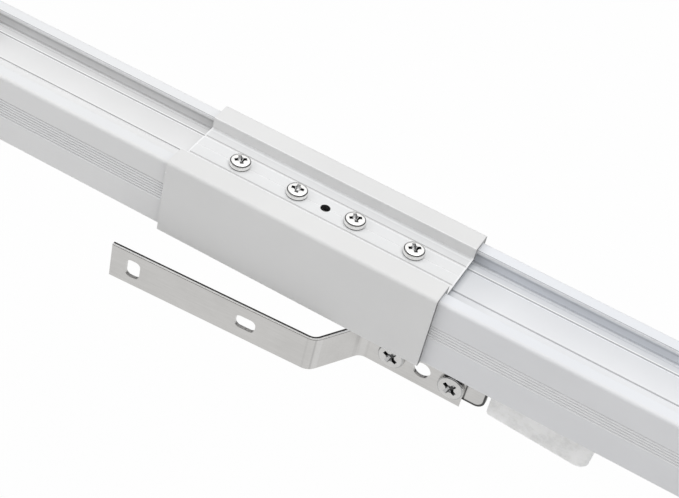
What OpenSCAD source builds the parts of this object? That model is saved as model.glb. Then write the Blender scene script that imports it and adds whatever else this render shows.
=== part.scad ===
// Electric curtain track: two rail lengths joined by a sleeve, a toothed belt loop,
// a belt driven master carrier with an overlap arm, runners and ceiling brackets.
// X runs along the track, Y across it and Z up. The origin is the middle of the
// joint in the plane of the ceiling, so everything hangs below it.

/* [Rail] */
// Overall width of the rail
rail_w = 40; // [38:0.5:44]
// Overall height of the rail
rail_h = 31.2; // [28:0.1:33]
// Length of each of the two rails
rail_len = 213; // [208:1:300]
// Thickness of the side walls
side_t = 1.5; // [1.2:0.1:1.8]
// Thickness of the bottom flanges that the wheels run on
flange_t = 1.6; // [1.4:0.1:2]
// Width of the slot between the bottom flanges
slot_w = 10; // [9.8:0.1:11]
// Radius of the outer edges
rail_edge_r = 1.3; // [0.6:0.1:2]
// Gap between the two rail ends inside the sleeve
joint_gap = 0.3; // [0.1:0.1:1]

/* [Top channel] */
// Width of the opening between the two lips
mouth_w = 27.8; // [27:0.1:28.4]
// Depth that each lip overhangs the channel wall
lip_hook = 1.3; // [1:0.1:1.8]
// Thickness of the lips
lip_t = 1.5; // [1.2:0.1:1.8]
// Depth of the two gutters beside the deck below the top of the rail
channel_depth = 6.7; // [6.2:0.1:7.2]
// Height of the deck in the middle of the channel above the gutters
deck_rise = 2.5; // [2.2:0.1:2.6]
// Half width of the deck
deck_hw = 10.8; // [10:0.1:11.4]
// Thickness of the channel floor
floor_t = 1.5; // [1.2:0.1:1.8]
// Distance of the drill lines from the middle of the deck
drill_line_y = 6.7; // [6:0.1:8]

/* [Side grooves] */
// Number of decorative grooves on each side of the left rail
groove_n_left = 7; // [1:1:9]
// Number of decorative grooves on each side of the right rail
groove_n_right = 5; // [1:1:9]
// Height of the middle groove above half the rail's height
groove_rise = 0.6; // [0:0.1:1]
// Spacing of the grooves
groove_pitch = 1.25; // [1:0.05:1.6]
// Width of each groove
groove_w = 1.1; // [0.5:0.05:1.2]
// Depth of each groove
groove_d = 0.4; // [0.15:0.05:0.5]

/* [Sleeve] */
// Length of the joining sleeve
sleeve_len = 114; // [100:1:130]
// Thickness of the sleeve's side plates
sleeve_t = 1.9; // [1.5:0.1:2.2]
// Thickness of the sleeve's top strips
sleeve_top_t = 2.0; // [1.6:0.1:2.2]
// Thickness of the sleeve's inner walls
sleeve_wall_t = 2.0; // [1:0.05:2.2]
// Thickness of the sleeve's floor
sleeve_floor_t = 1.4; // [1.2:0.1:1.8]
// Thickness of the sleeve's bottom lips
sleeve_lip_t = 1.1; // [0.9:0.1:1.4]
// Running clearance between the sleeve and the rails
sleeve_fit = 0.1; // [0.05:0.05:0.3]
// Spacing of the four sleeve screws
sleeve_pitch = 25; // [22:0.5:26]
// Radius of the sight hole over the rail joint
sight_r = 1.9; // [1.2:0.1:2.2]

/* [Screws] */
// Head radius of the sleeve screws
m4_head_r = 4.2; // [3.8:0.1:4.3]
// Head height of the sleeve screws
m4_head_h = 2.7; // [2.2:0.1:2.9]
// Shank radius of the sleeve screws
m4_r = 1.95; // [1.8:0.05:2.1]
// Head radius of the arm screws
m5_head_r = 5.5; // [4.7:0.1:5.8]
// Head height of the arm screws
m5_head_h = 1.9; // [1.6:0.1:3]
// Shank radius of the arm screws
m5_r = 2.45; // [2.2:0.05:2.6]
// Shank radius of the small screws
m3_r = 1.45; // [1.3:0.05:1.55]
// Head radius of the small screws
m3_head_r = 2.6; // [2.4:0.1:2.8]
// Radial clearance round a screw in a plain hole
screw_gap = 0.25; // [0.15:0.05:0.35]
// Radial gap in a threaded hole
thread_gap = 0.05; // [0.03:0.01:0.08]

/* [Belt] */
// Tooth pitch of the belt and the drive pulley
tooth_pitch = 3; // [2.8:0.1:3.1]
// Teeth on the drive pulley
pulley_teeth = 26; // [25:1:27]
// Thickness of the belt's back outside the pitch line
belt_back = 0.7; // [0.5:0.1:0.8]
// Thickness of the belt's back inside the pitch line
belt_web = 0.5; // [0.4:0.1:0.6]
// Height of the belt teeth
belt_tooth_h = 1.2; // [0.8:0.1:1.3]
// Thickness of the shelf
shelf_t = 1.1; // [0.9:0.1:1.2]
// Clearance round the belt
belt_gap = 0.3; // [0.2:0.05:0.35]

/* [Master carrier] */
// Length of the carrier body
carrier_len = 87; // [84:0.5:90]
// Position of the carrier's left end
carrier_x = 40.3; // [38:0.1:42]
// Length of the block below the rail
block_len = 42.7; // [40:0.1:44]
// Width of the block below the rail
block_w = 14; // [12:0.5:16]
// Depth of the block at its left end
block_drop_l = 22.2; // [20:0.1:24]
// Depth of the block at its right end
block_drop_r = 24.6; // [22:0.1:26]
// Radius of the block's lower right corner
block_r = 5; // [1:0.5:6]
// Radius of the rollers
roller_r = 4.5; // [4:0.1:4.6]
// Width of the rollers
roller_w = 3.8; // [3:0.1:4]
// Radius of the roller axles
axle_r = 1.25; // [1:0.05:1.5]
// Radial running clearance of wheels and pulleys
run_gap = 0.05; // [0.02:0.01:0.08]
// Clearance between the carrier and the rail slot
slot_gap = 0.4; // [0.3:0.1:0.6]

/* [Overlap arm] */
// Height of the steel strip
strip_h = 16.4; // [15:0.1:18]
// Thickness of the steel strip
strip_t = 1.6; // [1.4:0.1:1.8]
// Height of the strip's middle line below the rail
strip_drop = 14.3; // [13.5:0.1:16]
// Position of the right end of the strip
strip_end_x = 74.6; // [73:0.1:76]
// Position of the inner bend
bend_in_x = 31.0; // [28:0.1:33]
// Position of the outer bend
bend_out_x = 18.8; // [14:0.1:20]
// Sideways offset of the outer bend from the inner one
bend_out_y = 20.1; // [16:0.1:22]
// Length of the strip's outer stretch
reach_len = 87; // [70:1:110]
// Angle of the outer stretch to the track
reach_angle = 3.1; // [0:0.1:5]
// Radius of the bends on the middle line
bend_r = 5; // [2.5:0.1:5.5]
// Width of the curtain hook slots
hook_slot_w = 6.2; // [5:0.1:7]
// Length of the curtain hook slots
hook_slot_l = 8.7; // [7.5:0.1:10]
// Radius of the corners of the curtain hook slots
hook_slot_r = 2.2; // [1:0.1:3]
// Distance of the upright hook slot from the free end of the strip
end_slot_x = 9.8; // [8:0.1:14]
// Distance of the lying hook slot from the free end of the strip
middle_slot_x = 59; // [50:0.5:62]
// Spacing of the holes for the arm screws
arm_pitch = 12.8; // [12:0.1:13]
// Radius of the spare hole between the arm screws
spare_r = 3.7; // [2.6:0.1:4]

/* [Runners] */
// Number of runners
runner_n = 3; // [1:1:3]
// Spacing of the runners
runner_pitch = 55; // [53:1:56]
// Distance of the first runner from the rail end
runner_inset = 43; // [41:1:45]
// Length of a runner
runner_len = 16; // [14:0.5:18]
// Radius of the hole in a runner's eye
eye_r = 2.5; // [2:0.1:3]
// Depth of the eye's centre below the rail
eye_drop = 7.5; // [7:0.1:9]

/* [End housings] */
// Length of an end housing
housing_len = 57; // [56:1:64]
// Wall thickness of an end housing
housing_t = 2; // [1.6:0.1:2.4]
// Length of rail inside the mouth of a housing
housing_grip = 8; // [6:0.5:9]
// Distance of the pulley axis from the rail end
pulley_inset = 21; // [20:0.5:23]
// Radius of the drive shaft and the idler axle
shaft_r = 4; // [3.5:0.1:4.4]
// Radius of the coupling end of the drive shaft
stub_r = 3; // [2.5:0.1:3.4]
// Depth of the flat on the coupling end
stub_flat = 0.6; // [0.4:0.1:1]
// Depth of the motor collar
collar_h = 6; // [5:0.5:8]
// Outer radius of the motor collar
collar_r = 16; // [15.5:0.1:17]
// Length of the drive shaft below the collar's mouth
stub_len = 7; // [5:0.5:9]

/* [Ceiling bracket] */
// Distance of each ceiling bracket from the rail end
bracket_inset = 27; // [25:1:33]
// Width of the bracket plate along the track
bracket_w = 24; // [22:0.5:26]
// Length of the bracket plate across the track
bracket_len = 64; // [62:1:70]
// Thickness of the bracket plate
bracket_t = 2; // [1.6:0.1:2.4]
// Gap under the bracket plate for the lock lever
lever_room = 2.2; // [2.2:0.1:2.6]
// Thickness of the lock lever and its wing
lever_t = 1.2; // [1:0.1:1.5]
// Width of the lock lever
lever_w = 8; // [7:0.5:9]
// Length of the lock lever from its pivot
lever_len = 30; // [24:1:36]
// Spacing of the ceiling screw holes across the track
ceiling_pitch = 52; // [51:1:56]
// Radius of the ceiling screw holes
ceiling_hole_r = 2.25; // [2:0.05:2.5]

/* [Hidden] */
$fn = 48;
white_coat = "whitesmoke";
grey_plastic = "gainsboro";
nylon = "ivory";
steel = "silver";
dark_rubber = "dimgray";

// Heights, all measured from the bottom of the rail
hang_h = rail_h + lever_room + bracket_t;
floor_z = rail_h - channel_depth;
deck_z = floor_z + deck_rise;
roof_z = floor_z - floor_t;
crown_z = deck_z - floor_t;
crown_hw = deck_hw - side_t;
chamber_hw = rail_w / 2 - side_t;
mouth_hw = mouth_w / 2;
channel_hw = mouth_hw + lip_hook;
groove_mid_z = rail_h / 2 + groove_rise;
line_w = 1.1;
line_d = 0.6;
soft_r = 0.4;
eps = 0.5;

// Belt line
pitch_r = pulley_teeth * tooth_pitch / (2 * PI);
belt_out_r = pitch_r + belt_back;
belt_in_r = pitch_r - belt_web;
tooth_tip_r = belt_in_r - belt_tooth_h;
shelf_z = flange_t + 2 * roller_r + 0.3 + shelf_t;
belt_z = shelf_z + 0.2;
clamp_t = 1.4;
jaw_top = roof_z - 0.6 - clamp_t;
belt_top = jaw_top - belt_gap;
belt_h = belt_top - belt_z;
pulley_x = rail_len + pulley_inset;
shelf_in_y = tooth_tip_r + belt_gap;

// Sleeve
sleeve_in = rail_w / 2 + sleeve_fit;
sleeve_hw = sleeve_in + sleeve_t;
sleeve_top = rail_h + sleeve_fit + sleeve_top_t;
sleeve_wall_out = mouth_hw - sleeve_fit;
sleeve_wall_in = sleeve_wall_out - sleeve_wall_t;
sleeve_floor_z = deck_z;
sleeve_floor_top = sleeve_floor_z + sleeve_floor_t;
sleeve_line_y = 5.95;
sleeve_lip_in = rail_w / 2 - 2.5;
sleeve_screw_xs = [for (i = [-1.5:1:1.5]) i * sleeve_pitch];
bar_t = 2;
bar_hw = 6;
bar_len = sleeve_len - 4;

// Carrier
carrier_end = carrier_x + carrier_len;
neck_hw = slot_w / 2 - slot_gap;
core_hw = 5.4;
core_z = flange_t + 0.6;
core_top = roof_z - bar_t - 1.2;
axle_z = flange_t + roller_r;
axle_xs = [carrier_x + 12, carrier_end - 12];
roller_hub_r = axle_r + 1;
roller_hub_t = 0.3;
roller_play = 0.3;
roller_y = core_hw + roller_hub_t + roller_play;
axle_hw = roller_y + roller_w + roller_play;
axle_head_r = 2.1;
axle_head_t = 0.5;
jaw_len = 36;
jaw_x = (axle_xs[0] + axle_xs[1]) / 2;
jaw_out = tooth_tip_r - belt_gap;
clamp_leg_y = belt_out_r + belt_gap;
clamp_in_y = bar_hw + 0.4;
clamp_screw_dx = 12;
clamp_screw_len = jaw_top - belt_z - 0.8;
clamp_screw_y = -(clamp_in_y + jaw_out) / 2;
clamp_head_r = 1.7;
clamp_head_h = 0.8;
pocket_dx = 8;
pocket_wall = 2;
foot_z = -1.2;
block_x = carrier_end - block_len;
block_top = -0.8;
block_fall = atan((block_drop_r - block_drop_l) / block_len);

// Bracket on the carrier, the arm and their screws
plate_back = -block_w / 2;
plate_front = plate_back - strip_t;
plate_bottom = -19.7;
plate_corner_r = 4;
plate_end_x = block_x - 1.3;
plate_x = 36;
foot_screw_xs = [plate_x + 10, plate_end_x - 10];
foot_screw_len = 8;
arm_front = plate_front - strip_t;
screw_b_x = strip_end_x - 5.2;
screw_a_x = screw_b_x - 2 * arm_pitch;
spare_x = screw_b_x - arm_pitch;
notch_w = 12.6;
notch_top = -9.5;
flange_y = 6;
nut_r = 4.62;
nut_t = 4;

// Runners
runner_core_hw = 4.2;
runner_neck_hw = slot_w / 2 - 1.5;
runner_top = 10.8;
runner_x = runner_inset - rail_len;
wheel_r = roller_r;
wheel_w = roller_w;
wheel_y = runner_core_hw + roller_hub_t + roller_play;
eye_out_r = eye_r + 2;
eye_t = 3;

// End housings
housing_x = rail_len - housing_grip;
housing_end = housing_x + housing_len;
housing_in = rail_w / 2 + sleeve_fit;
housing_hw = housing_in + housing_t;
cover_z = rail_h + sleeve_fit;
housing_corner_r = 5;
post_r = 3;
post_xs = [rail_len + post_r + 0.6, housing_end - housing_t - post_r];
post_y = housing_in - post_r + 0.1;
cover_screw_len = 11;
cover_head_h = 1;
flange_disc_t = 1;
bush_t = 1.9;
bush_flange_t = 1;
bush_flange_r = shaft_r + bush_t + 1.6;
bush_len = 4;
boss_r = shaft_r + bush_t + 2;
cavity_z = -sleeve_fit;
base_z = cavity_z - housing_t;
collar_hole_r = 1.65;
collar_hole_x = 13;
collar_in_r = 9.5;
stub_z = base_z - collar_h - 1;

// End stops
stop_len = 7.5;
stop_x = housing_x - stop_len - 0.5;
stop_top = 4.6;
stop_low = -2.5;
stop_hw = slot_w / 2 + 4;
stop_foot_hw = slot_w / 2 + 3;

// Ceiling bracket
bracket_x = rail_len - bracket_inset;
wing_z = rail_h - lip_t - 0.2 - lever_t;
wing_r = channel_hw - 0.3;
wing_w = 11;
hub_r = 5.5;
lever_z = rail_h + 0.4;
pin_r = 2.5;
pin_head_r = 4;
pin_head_t = 0.8;
pin_gap = 0.2;
leg_t = 1.6;
leg_hw = 16;
leg_gap = lever_w / 2 + 2.5;

function arc(c, r, a0, a1, n = 6) =
    [for (i = [0:n]) c + r * [cos(a0 + (a1 - a0) * i / n), sin(a0 + (a1 - a0) * i / n)]];

module hang() {
    translate([0, 0, -hang_h]) children();
}

// Turns an outline drawn across and up into a length along X
module along_x(x0, len) {
    translate([x0, 0, 0]) rotate([90, 0, 90]) linear_extrude(len) children();
}

module box(x0, x1, y0, y1, z0, z1) {
    translate([x0, y0, z0]) cube([x1 - x0, y1 - y0, z1 - z0]);
}

module rod(r, z0, z1) {
    translate([0, 0, z0]) cylinder(r = r, h = z1 - z0);
}

module rod_y(r, y0, y1) {
    translate([0, y0, 0]) rotate([-90, 0, 0]) cylinder(r = r, h = y1 - y0);
}

module both_sides() {
    children();
    mirror([1, 0]) children();
}

module slab(y0, y1, z0, z1) {
    translate([y0, z0]) square([y1 - y0, z1 - z0]);
}

module round_block(hw, z0, z1, top_r, low_r) {
    polygon(concat(
        arc([hw - low_r, z0 + low_r], low_r, -90, 0),
        arc([hw - top_r, z1 - top_r], top_r, 0, 90),
        arc([top_r - hw, z1 - top_r], top_r, 90, 180),
        arc([low_r - hw, z0 + low_r], low_r, 180, 270)
    ));
}

module v_line(y, z, w, d) {
    polygon([[y - w / 2, z + 0.01], [y, z - d], [y + w / 2, z + 0.01]]);
}

// What rounding takes off the upper left corner of a wall that stands at y with its top at z
module soft_edge(y, z) {
    polygon(concat(
        [[y - 0.01, z - soft_r]],
        arc([y + soft_r, z - soft_r], soft_r, 180, 90, 4),
        [[y + soft_r, z + 0.01], [y - 0.01, z + 0.01]]
    ));
}

// Upright triangle cut into the outer side face of the rail at height z
module side_groove(z) {
    polygon([[rail_w / 2 + 0.01, z - groove_w / 2], [rail_w / 2 - groove_d, z],
        [rail_w / 2 + 0.01, z + groove_w / 2]]);
}

module rail_section(groove_n) {
    difference() {
        round_block(rail_w / 2, 0, rail_h, rail_edge_r, 0.6);
        slab(-shelf_in_y, shelf_in_y, flange_t, roof_z);
        slab(-chamber_hw, chamber_hw, flange_t, shelf_z - shelf_t);
        slab(-chamber_hw, chamber_hw, shelf_z, roof_z);
        slab(-crown_hw, crown_hw, roof_z - eps, crown_z);
        slab(-slot_w / 2, slot_w / 2, -eps, flange_t + eps);
        slab(-channel_hw, channel_hw, deck_z, rail_h - lip_t);
        slab(-mouth_hw, mouth_hw, deck_z, rail_h + eps);
        both_sides() {
            slab(deck_hw, channel_hw, floor_z, deck_z + eps);
            v_line(drill_line_y, deck_z, line_w, line_d);
            soft_edge(mouth_hw, rail_h);
            slab(channel_hw + side_t, chamber_hw, roof_z - eps, rail_h - lip_t);
            for (i = [0:groove_n - 1])
                side_groove(groove_mid_z + (i - (groove_n - 1) / 2) * groove_pitch);
        }
    }
}

module rail(side) {
    x0 = side < 0 ? -rail_len : joint_gap / 2;
    difference() {
        along_x(x0, rail_len - joint_gap / 2)
            rail_section(side < 0 ? groove_n_left : groove_n_right);
        for (x = sleeve_screw_xs)
            translate([x, 0, 0]) rod(m4_r + screw_gap, crown_z - eps, deck_z + eps);
        rod(sight_r, crown_z - eps, deck_z + eps);
    }
}

module rail_left() {
    color(white_coat) hang() rail(-1);
}

module rail_right() {
    color(white_coat) hang() rail(1);
}

module sleeve_section() {
    difference() {
        round_block(sleeve_hw, -sleeve_fit - sleeve_lip_t, sleeve_top, 1.5, 0.5);
        slab(-sleeve_in, sleeve_in, -sleeve_fit, sleeve_floor_z);
        slab(-sleeve_lip_in, sleeve_lip_in, -sleeve_fit - sleeve_lip_t - eps, 0);
        slab(-sleeve_wall_in, sleeve_wall_in, sleeve_floor_top, sleeve_top + eps);
        v_line(0, sleeve_floor_top, line_w / 2, line_d / 3);
        both_sides() {
            slab(sleeve_wall_out, sleeve_in, sleeve_floor_z - eps, rail_h + sleeve_fit);
            v_line(sleeve_line_y, sleeve_floor_top, line_w, line_d);
            soft_edge(sleeve_wall_in, sleeve_top);
        }
    }
}

module joining_sleeve() {
    color(white_coat) hang() difference() {
        along_x(-sleeve_len / 2, sleeve_len) sleeve_section();
        for (x = sleeve_screw_xs)
            translate([x, 0, 0]) rod(m4_r + screw_gap, sleeve_floor_z - eps, sleeve_floor_top + eps);
        rod(sight_r, sleeve_floor_z - eps, sleeve_floor_top + eps);
    }
}

// Pan head screw with a cross recess, head up, seated at z = 0
module pan_screw(head_r, head_h, shank_r, len) {
    difference() {
        union() {
            rod(head_r, 0, head_h * 0.6);
            translate([0, 0, head_h * 0.6])
                cylinder(r1 = head_r, r2 = head_r * 0.92, h = head_h * 0.25);
            translate([0, 0, head_h * 0.85])
                cylinder(r1 = head_r * 0.92, r2 = head_r * 0.72, h = head_h * 0.15);
            rod(shank_r, -len, 0);
        }
        for (a = [0, 90]) rotate([0, 0, a])
            box(-head_r * 0.55, head_r * 0.55, -0.5, 0.5, head_h * 0.4, head_h + eps);
    }
}

module flat_screw(head_r, head_h, shank_r, len) {
    difference() {
        union() {
            rod(head_r, -head_h, 0);
            rod(shank_r, -len, -head_h);
        }
        for (a = [0, 90]) rotate([0, 0, a])
            box(-head_r * 0.6, head_r * 0.6, -0.35, 0.35, -head_h * 0.7, eps);
    }
}

module sleeve_screws() {
    color(steel) hang() for (x = sleeve_screw_xs)
        translate([x, 0, sleeve_floor_top])
            pan_screw(m4_head_r, m4_head_h, m4_r, sleeve_floor_top - crown_z + bar_t);
}

module joint_bar() {
    color(steel) hang() difference() {
        box(-bar_len / 2, bar_len / 2, -bar_hw, bar_hw, crown_z - bar_t, crown_z);
        for (x = sleeve_screw_xs)
            translate([x, 0, 0]) rod(m4_r + thread_gap, crown_z - bar_t - eps, crown_z + eps);
        rod(sight_r, crown_z - bar_t - eps, crown_z + eps);
    }
}

// Closed belt outline round both pulleys, at distance r from the pulley axes
module belt_outline(r) {
    polygon(concat(
        arc([pulley_x, 0], r, -90, 90, 24),
        arc([-pulley_x, 0], r, 90, 270, 24)
    ));
}

module toothed_belt() {
    tooth_n = floor(2 * rail_len / tooth_pitch) - 2;
    color(dark_rubber) hang() {
        translate([0, 0, belt_z]) linear_extrude(belt_h) {
            difference() {
                belt_outline(belt_out_r);
                belt_outline(belt_in_r);
            }
            for (side = [-1, 1], i = [0:tooth_n - 1])
                translate([(i - (tooth_n - 1) / 2) * tooth_pitch, side * (tooth_tip_r + belt_in_r) / 2])
                    square([tooth_pitch / 2, belt_tooth_h + 0.04], center = true);
        }
    }
}

// Outline of an end housing seen from above, with its far corners rounded
module housing_plan(x1, hw, r) {
    polygon(concat(
        [[housing_x, -hw]],
        arc([x1 - r, r - hw], r, -90, 0),
        arc([x1 - r, hw - r], r, 0, 90),
        [[housing_x, hw]]
    ));
}

module posts(r, z0, z1) {
    for (x = post_xs, y = [-post_y, post_y]) translate([x, y, 0]) rod(r, z0, z1);
}

module casing(bore) {
    difference() {
        union() {
            difference() {
                translate([0, 0, base_z]) linear_extrude(cover_z - base_z)
                    housing_plan(housing_end, housing_hw, housing_corner_r);
                translate([-eps, 0, cavity_z]) linear_extrude(cover_z - base_z)
                    housing_plan(housing_end - housing_t + eps, housing_in,
                        housing_corner_r - housing_t + 0.2);
            }
            posts(post_r, base_z + 0.5, cover_z);
            translate([pulley_x, 0, 0]) rod(boss_r, base_z + 0.5, cavity_z + bush_len - housing_t);
        }
        posts(m3_r + thread_gap, cover_z - cover_screw_len, cover_z + eps);
        translate([pulley_x, 0, 0]) rod(bore, base_z - eps, cavity_z + bush_len);
    }
}

module cover(bore) {
    difference() {
        union() {
            translate([0, 0, cover_z]) linear_extrude(housing_t)
                housing_plan(housing_end, housing_hw, housing_corner_r);
            translate([pulley_x, 0, 0]) rod(boss_r, cover_z + housing_t - bush_len, cover_z + 0.5);
        }
        posts(m3_r + screw_gap, cover_z - eps, cover_z + housing_t + eps);
        posts(m3_head_r + screw_gap, cover_z + housing_t - cover_head_h, cover_z + housing_t + eps);
        translate([pulley_x, 0, 0]) rod(bore, cover_z - bush_len, cover_z + housing_t - 0.6);
    }
}

module drive_casing() {
    color(grey_plastic) hang() mirror([1, 0, 0]) difference() {
        union() {
            casing(shaft_r + bush_t);
            translate([pulley_x, 0, 0]) difference() {
                rod(collar_r, base_z - collar_h, base_z + 0.5);
                rod(collar_in_r, base_z - collar_h - eps, base_z + 1);
            }
        }
        for (dx = [-collar_hole_x, collar_hole_x])
            translate([pulley_x + dx, 0, 0]) rod(collar_hole_r, base_z - collar_h - eps, base_z);
    }
}

module drive_cover() {
    color(grey_plastic) hang() mirror([1, 0, 0]) cover(shaft_r + bush_t);
}

module idler_casing() {
    color(grey_plastic) hang() casing(shaft_r);
}

module idler_cover() {
    color(grey_plastic) hang() cover(shaft_r);
}

module cover_screws() {
    color(steel) hang() for (side = [0, 1]) mirror([side, 0, 0])
        for (x = post_xs, y = [-post_y, post_y])
            translate([x, y, cover_z + housing_t])
                flat_screw(m3_head_r, cover_head_h, m3_r, cover_screw_len);
}

module bush() {
    difference() {
        union() {
            rod(shaft_r + bush_t, 0, bush_len - 0.6);
            rod(bush_flange_r, bush_len - 0.6, bush_len - 0.6 + bush_flange_t);
        }
        rod(shaft_r + run_gap, -eps, bush_len + eps);
    }
}

module drive_bushes() {
    color("peru") hang() translate([-pulley_x, 0, 0]) {
        translate([0, 0, base_z + 0.6]) bush();
        translate([0, 0, cover_z + housing_t - 0.6]) mirror([0, 0, 1]) bush();
    }
}

module idler_axle() {
    color(steel) hang() translate([pulley_x, 0, 0]) rod(shaft_r, base_z, cover_z + housing_t - 0.6);
}

module pulley(hub_r, z_low, z_high) {
    difference() {
        union() {
            difference() {
                rod(belt_in_r - belt_gap, belt_z - belt_gap, belt_top + belt_gap);
                for (i = [0:pulley_teeth - 1]) rotate([0, 0, i * 360 / pulley_teeth])
                    translate([belt_in_r - belt_gap, 0, 0])
                        rod(tooth_pitch / 4, belt_z, belt_top);
            }
            rod(belt_out_r - 0.2, belt_z - belt_gap - flange_disc_t, belt_z - belt_gap);
            rod(belt_out_r - 0.2, belt_top + belt_gap, belt_top + belt_gap + flange_disc_t);
            rod(hub_r, z_low, z_high);
        }
        children();
    }
}

module drive_pulley() {
    low = cavity_z + bush_len - housing_t + bush_flange_t + 0.3;
    high = cover_z + housing_t - bush_len - bush_flange_t - 0.3;
    color(nylon) hang() translate([-pulley_x, 0, 0]) pulley(shaft_r + 3, low, high)
        rod(shaft_r, low - eps, high + eps);
}

module drive_shaft() {
    color(steel) hang() translate([-pulley_x, 0, 0]) difference() {
        union() {
            rod(shaft_r, stub_z, cover_z + housing_t - 0.9);
            rod(stub_r, stub_z - stub_len, stub_z + eps);
        }
        box(-shaft_r, shaft_r, stub_r - stub_flat, shaft_r, stub_z - stub_len - eps, stub_z);
    }
}

module idler_pulley() {
    low = cavity_z + bush_len - housing_t + 0.3;
    high = cover_z + housing_t - bush_len - 0.3;
    color(nylon) hang() translate([pulley_x, 0, 0]) pulley(shaft_r + 3, low, high)
        rod(shaft_r + run_gap, low - eps, high + eps);
}

module end_stops() {
    color(dark_rubber) hang() for (side = [0, 1]) mirror([side, 0, 0]) difference() {
        union() {
            box(stop_x, stop_x + stop_len, -stop_hw, stop_hw, flange_t, stop_top);
            box(stop_x, stop_x + stop_len, -neck_hw, neck_hw, stop_low + 0.5, flange_t + 0.5);
            box(stop_x, stop_x + stop_len, -stop_foot_hw, stop_foot_hw, stop_low, 0);
        }
        translate([stop_x + stop_len / 2, 0, 0]) rod(m3_r + thread_gap, stop_low - eps, stop_top + eps);
    }
}

module stop_screws() {
    color(steel) hang() for (side = [0, 1]) mirror([side, 0, 0])
        translate([stop_x + stop_len / 2, 0, stop_low]) mirror([0, 0, 1])
            pan_screw(m3_head_r, 1.8, m3_r, stop_top - stop_low);
}

module bracket_plate(x) {
    translate([x, 0, 0]) difference() {
        union() {
            box(-bracket_w / 2, bracket_w / 2, -bracket_len / 2, bracket_len / 2,
                rail_h + lever_room, hang_h);
            box(-bracket_w / 2, leg_t - bracket_w / 2, -leg_hw, leg_hw, rail_h, hang_h - eps);
            box(bracket_w / 2 - leg_t, bracket_w / 2, -leg_hw, -leg_gap, rail_h, hang_h - eps);
        }
        for (y = [-ceiling_pitch / 2, ceiling_pitch / 2])
            translate([0, y, 0]) rod(ceiling_hole_r, hang_h - bracket_t - eps, hang_h + eps);
        rod(pin_r, hang_h - bracket_t - eps, hang_h + eps);
    }
}

module bracket_plate_left() {
    color(steel) hang() bracket_plate(-bracket_x);
}

module bracket_plate_right() {
    color(steel) hang() mirror([1, 0, 0]) bracket_plate(-bracket_x);
}

module bracket_pins() {
    color(steel) hang() for (x = [-bracket_x, bracket_x]) translate([x, 0, 0]) {
        rod(pin_r, wing_z - pin_gap, hang_h);
        rod(pin_head_r, wing_z - pin_gap - pin_head_t, wing_z - pin_gap);
    }
}

// Lever that turns a wing under the lips of the channel
module lock_cam(x) {
    translate([x, 0, 0]) difference() {
        union() {
            intersection() {
                rod(wing_r, wing_z, wing_z + lever_t);
                box(-wing_w / 2, wing_w / 2, -wing_r, wing_r, wing_z - eps, wing_z + lever_t + eps);
            }
            rod(hub_r, wing_z, lever_z + lever_t);
            box(0, lever_len - lever_w / 2, -lever_w / 2, lever_w / 2, lever_z, lever_z + lever_t);
            translate([lever_len - lever_w / 2, 0, 0]) rod(lever_w / 2, lever_z, lever_z + lever_t);
        }
        rod(pin_r + run_gap, wing_z - eps, lever_z + lever_t + eps);
    }
}

module lock_cam_left() {
    color(grey_plastic) hang() lock_cam(-bracket_x);
}

module lock_cam_right() {
    color(grey_plastic) hang() mirror([1, 0, 0]) lock_cam(-bracket_x);
}

// Side view of the block below the rail, with its lower edge falling to the right
module block_side() {
    polygon(concat(
        [[block_x, block_top], [block_x, 1 - block_drop_l], [block_x + 1, -block_drop_l]],
        arc([carrier_end - block_r, block_r - block_drop_r], block_r, -90 - block_fall, 0),
        [[carrier_end, block_top]]
    ));
}

module carrier_body() {
    color(nylon) hang() difference() {
        union() {
            box(carrier_x, carrier_end, -core_hw, core_hw, core_z, core_top);
            box(carrier_x, carrier_end, -neck_hw, neck_hw, foot_z, core_z + eps);
            translate([0, block_w / 2, 0]) rotate([90, 0, 0]) linear_extrude(block_w) block_side();
            box(jaw_x - jaw_len / 2, jaw_x + jaw_len / 2, -jaw_out, -core_hw + eps,
                belt_z + 0.2, jaw_top);
        }
        for (x = axle_xs) {
            translate([x, 0, axle_z]) rod_y(axle_r, -core_hw - eps, core_hw + eps);
            box(x - pocket_dx, x + pocket_dx, pocket_wall - core_hw, core_hw - pocket_wall,
                axle_z + roller_r, core_top + eps);
        }
        for (dx = [-clamp_screw_dx, clamp_screw_dx])
            translate([jaw_x + dx, clamp_screw_y, 0])
                rod(m3_r + thread_gap, jaw_top - clamp_screw_len, jaw_top + eps);
        for (x = foot_screw_xs)
            translate([x, 0, 0]) rod(m4_r + thread_gap, foot_z - eps, foot_z + foot_screw_len);
    }
}

module carrier_axles() {
    color(steel) hang() for (x = axle_xs) translate([x, 0, axle_z]) {
        rod_y(axle_r, -axle_hw, axle_hw);
        for (m = [0, 1]) mirror([0, m, 0]) rod_y(axle_head_r, axle_hw, axle_hw + axle_head_t);
    }
}

module roller(x, side) {
    translate([x, 0, axle_z]) mirror([0, side > 0 ? 0 : 1, 0]) difference() {
        union() {
            rod_y(roller_r, roller_y, roller_y + roller_w);
            rod_y(roller_hub_r, roller_y - roller_hub_t, roller_y + roller_w);
        }
        rod_y(axle_r + run_gap, roller_y - 1, roller_y + roller_w + 1);
    }
}

module roller_1() {
    color(grey_plastic) hang() roller(axle_xs[0], -1);
}

module roller_2() {
    color(grey_plastic) hang() roller(axle_xs[0], 1);
}

module roller_3() {
    color(grey_plastic) hang() roller(axle_xs[1], -1);
}

module roller_4() {
    color(grey_plastic) hang() roller(axle_xs[1], 1);
}

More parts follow.
